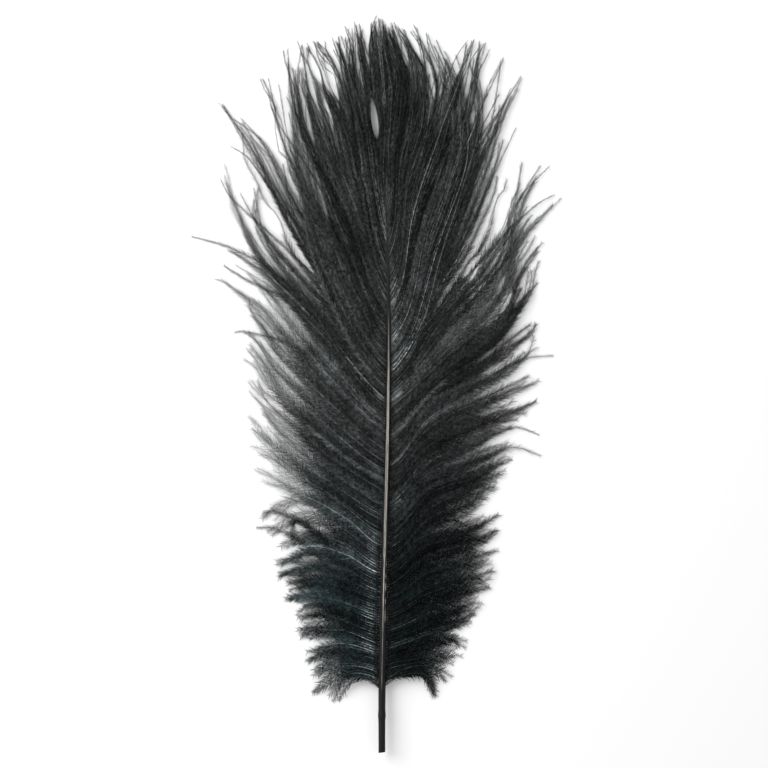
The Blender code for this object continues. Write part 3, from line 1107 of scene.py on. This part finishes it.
def make_shaft_mesh():
    roots = np.concatenate((np.linspace(*QUILL_RINGS), np.linspace(*RACHIS_RINGS)))
    mouth = (
        (MOUTH_DEPTH, MOUTH_END * MOUTH_SHARE, 0.0), (MOUTH_NARROWS_AT, MOUTH_SHARE, 0.0),
        (MOUTH_RING, MOUTH_SHARE, 0.0), (0.0, MOUTH_SHARE, CUT_SLANT),
    )
    rings = [shaft_ring(*ring) for ring in mouth]
    rings += [shaft_ring(root, 1.0, 0.0 if root else CUT_SLANT) for root in roots]
    verts = np.concatenate(rings)
    places = [0.0] * len(mouth) + list(roots)
    faces = [tuple(range(SHAFT_SIDES))[::-1]]
    for ring in range(len(rings) - 1):
        for side in range(SHAFT_SIDES):
            first = ring * SHAFT_SIDES + side
            second = ring * SHAFT_SIDES + (side + 1) % SHAFT_SIDES
            faces.append((first, second, second + SHAFT_SIDES, first + SHAFT_SIDES))
    last = (len(rings) - 1) * SHAFT_SIDES
    faces.append(tuple(range(last, last + SHAFT_SIDES)))
    mesh = bpy.data.meshes.new("quill_and_rachis")
    mesh.from_pydata(verts, (), faces)
    streaks = np.array([streak_values(place, shaft_at(place)[2]) for place in places])
    for column, name in enumerate(("streak_width", "streak_split", "streak_strength")):
        add_values(mesh, name, np.repeat(streaks[:, column], SHAFT_SIDES))
    layer = mesh.uv_layers.new(name="shaft_map")
    for polygon in mesh.polygons:
        sides = [vertex % SHAFT_SIDES for vertex in polygon.vertices]
        wraps = max(sides) - min(sides) > SHAFT_SIDES // 2 and len(sides) == 4
        for loop, side in zip(polygon.loop_indices, sides):
            turn = side + (SHAFT_SIDES if wraps and side < SHAFT_SIDES // 2 else 0)
            place = mesh.vertices[mesh.loops[loop].vertex_index].co.y
            layer.data[loop].uv = (turn / SHAFT_SIDES, (place - CUT[1]) / (SHAFT_LENGTH * MM))
    mesh.shade_smooth()
    mesh.set_sharp_from_angle(angle=np.radians(SHARP_ANGLE))
    return place_object("quill_and_rachis", mesh)


# ----------------------------------------------------------------- settings


class PlumeBarbs(bpy.types.PropertyGroup):
    """Sizes of the down."""

    barbule_spacing: bpy.props.FloatProperty(
        name="Barbule Spacing",
        description="Distance between tufts of barbules along a side of a barb",
        default=0.0012, min=0.0002, max=0.004, subtype="DISTANCE", unit="LENGTH",
    )
    seed: bpy.props.IntProperty(
        name="Seed", description="Seed of the barbs' small differences", default=7,
    )


def colour_setting(name, description, colour):
    return bpy.props.FloatVectorProperty(
        name=name, description=description, default=(*colour, 1.0), size=4, subtype="COLOR",
    )


class PlumeColours(bpy.types.PropertyGroup):
    """Colours of the plume."""

    cool: colour_setting(
        "Base Down", "Colour of the down beside the quill", (0.006, 0.0105, 0.0115)
    )
    warm: colour_setting(
        "Tip Down", "Colour of the down towards the tip", (0.0285, 0.0305, 0.0308)
    )
    # Colour of the paler ribs: partly random tone, partly painted highlights along the strands and on
    # the left barbs' feet.
    pale_tint: colour_setting(
        "Pale Ribs And Highlights", "Colour of the paler ribs, and of the painted highlights on them", (0.019, 0.021, 0.021)
    )
    horn: colour_setting("Horn", "Colour of the dyed shaft", (0.007, 0.007, 0.007))
    streak: colour_setting(
        "Worn Streak", "Colour of the horn where the dye is rubbed off", (0.52, 0.49, 0.44)
    )


class PlumeStage(bpy.types.PropertyGroup):
    """Floor, light and camera."""

    view_width: bpy.props.FloatProperty(
        name="View Width", description="Width of the floor that the camera sees",
        default=0.4201, subtype="DISTANCE", unit="LENGTH",
    )
    view_height: bpy.props.FloatProperty(
        name="Camera Height", description="Height of the camera above the floor",
        default=1.6, subtype="DISTANCE", unit="LENGTH",
    )
    aim: bpy.props.FloatVectorProperty(
        name="Aim", description="Point of the floor in the middle of the view, from the cut end",
        default=(0.0011, 0.2006), size=2, subtype="XYZ", unit="LENGTH",
    )


# ---------------------------------------------------------------- operators

SECTIONS = (("lower", 0.0, 0.34), ("middle", 0.34, 0.68), ("upper", 0.68, 1.0))


def sections_of(barbs):
    """Split barbs, from the quill up, into three runs of about equal length of fibre."""
    runs = np.cumsum([barb["run"] for barb in barbs])
    runs = runs / runs[-1]
    for name, low, high in SECTIONS:
        yield name, [barb for barb, run in zip(barbs, runs) if low < run <= high]


def grow_vane(side_name, side, guides, steep_guides, strays, seed):
    scene = bpy.context.scene
    tree, shapes = barb_tree(), tuft_shapes()
    finishes = (
        down_material(side_name + "_rib", scene.plume_colours, 1.0, 0.45, 0.16, ribs=True),
        down_material(side_name + "_barbule", scene.plume_colours, 0.8, 0.55, 0.05, ribs=False),
    )
    for section, barbs in sections_of(barbs_of(side, guides, steep_guides, strays, seed)):
        piece = grow(
            f"{side_name}_{section}_barbs", barbs, scene.plume_barbs, tree, shapes, finishes
        )
        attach(piece, "root")
        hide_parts(side_name + "_vane")
    for shape in list(shapes.objects):
        bpy.data.objects.remove(shape)
    bpy.data.collections.remove(shapes)


class PLUME_OT_shaft(bpy.types.Operator):
    """Turn the bare quill and the grooved rachis"""

    bl_idname = "plume.shaft"
    bl_label = "Make Shaft"

    def execute(self, context):
        piece = make_shaft_mesh()
        piece.data.materials.append(shaft_material(context.scene.plume_colours))
        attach(piece, "root")
        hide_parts("shaft")
        return {"FINISHED"}


class PLUME_OT_left_vane(bpy.types.Operator):
    """Grow the barbs on the left of the shaft"""

    bl_idname = "plume.left_vane"
    bl_label = "Grow Left Vane"

    def execute(self, context):
        seed = context.scene.plume_barbs.seed
        grow_vane("left", LEFT, LEFT_GUIDES, LEFT_STEEP, LEFT_STRAYS, seed)
        return {"FINISHED"}


class PLUME_OT_right_vane(bpy.types.Operator):
    """Grow the barbs on the right of the shaft"""

    bl_idname = "plume.right_vane"
    bl_label = "Grow Right Vane"

    def execute(self, context):
        seed = context.scene.plume_barbs.seed + 1
        grow_vane("right", RIGHT, RIGHT_GUIDES, RIGHT_STEEP, RIGHT_STRAYS, seed)
        return {"FINISHED"}


FLOOR_REACH = 3.0
FLOOR_GREY = 0.9
SKY_STRENGTH = 0.7
KEY_SIZE = 1.0
KEY_POWER = 17.0
KEY_PLACE = (-0.9, 0.45, 0.85)


def make_floor():
    mesh = bpy.data.meshes.new("floor")
    signs = ((-1, -1), (1, -1), (1, 1), (-1, 1))
    corners = [(x * FLOOR_REACH, y * FLOOR_REACH, 0.0) for x, y in signs]
    mesh.from_pydata(corners, (), [(0, 1, 2, 3)])
    material, shader = new_material("white_floor", 0.9, 0.1)[::2]
    shader.inputs["Base Color"].default_value = (FLOOR_GREY, FLOOR_GREY, FLOOR_GREY, 1.0)
    mesh.materials.append(material)
    place_object("floor", mesh)


def make_light():
    world = bpy.data.worlds.new("studio")
    world.use_nodes = True
    background = world.node_tree.nodes["Background"]
    background.inputs["Color"].default_value = (1.0, 1.0, 1.0, 1.0)
    background.inputs["Strength"].default_value = SKY_STRENGTH
    bpy.context.scene.world = world
    lamp = bpy.data.lights.new("key", "AREA")
    lamp.size = KEY_SIZE
    lamp.energy = KEY_POWER
    key = place_object("key", lamp)
    key.location = KEY_PLACE
    key.rotation_euler = (-Vector(KEY_PLACE)).to_track_quat("-Z", "Y").to_euler()


def make_camera(settings):
    """A long lens straight above the plume."""
    lens = bpy.data.cameras.new("camera")
    lens.sensor_width = 36.0
    lens.lens = lens.sensor_width * settings.view_height / settings.view_width
    camera = place_object("camera", lens)
    camera.location = (CUT[0] + settings.aim[0], CUT[1] + settings.aim[1], settings.view_height)
    bpy.context.scene.camera = camera


class PLUME_OT_stage(bpy.types.Operator):
    """Lay the white floor and set the light and the camera"""

    bl_idname = "plume.stage"
    bl_label = "Set Stage"

    def execute(self, context):
        context.scene.view_settings.view_transform = "Standard"
        make_floor()
        make_light()
        make_camera(context.scene.plume_stage)
        return {"FINISHED"}


class PLUME_PT_panel(bpy.types.Panel):
    """Lists the steps of the plume"""

    bl_idname = "PLUME_PT_panel"
    bl_label = "Ostrich Plume"
    bl_space_type = "VIEW_3D"
    bl_region_type = "UI"
    bl_category = "Plume"

    def draw(self, context):
        column = self.layout.column()
        for group in ("plume_barbs", "plume_colours", "plume_stage"):
            settings = getattr(context.scene, group)
            for name in settings.__annotations__:
                column.prop(settings, name)
        for step in STEPS:
            column.operator(step.bl_idname)


STEPS = (PLUME_OT_shaft, PLUME_OT_left_vane, PLUME_OT_right_vane, PLUME_OT_stage)
GROUPS = {"plume_barbs": PlumeBarbs, "plume_colours": PlumeColours, "plume_stage": PlumeStage}


def register():
    for name, group in GROUPS.items():
        bpy.utils.register_class(group)
        setattr(bpy.types.Scene, name, bpy.props.PointerProperty(type=group))
    for made in STEPS + (PLUME_PT_panel,):
        bpy.utils.register_class(made)


def unregister():
    for made in (PLUME_PT_panel,) + STEPS:
        bpy.utils.unregister_class(made)
    for name, group in GROUPS.items():
        delattr(bpy.types.Scene, name)
        bpy.utils.unregister_class(group)


def main():
    register()
    bpy.ops.plume.shaft()
    bpy.ops.plume.left_vane()
    bpy.ops.plume.right_vane()
    bpy.ops.plume.stage()


if __name__ == "__main__":
    main()
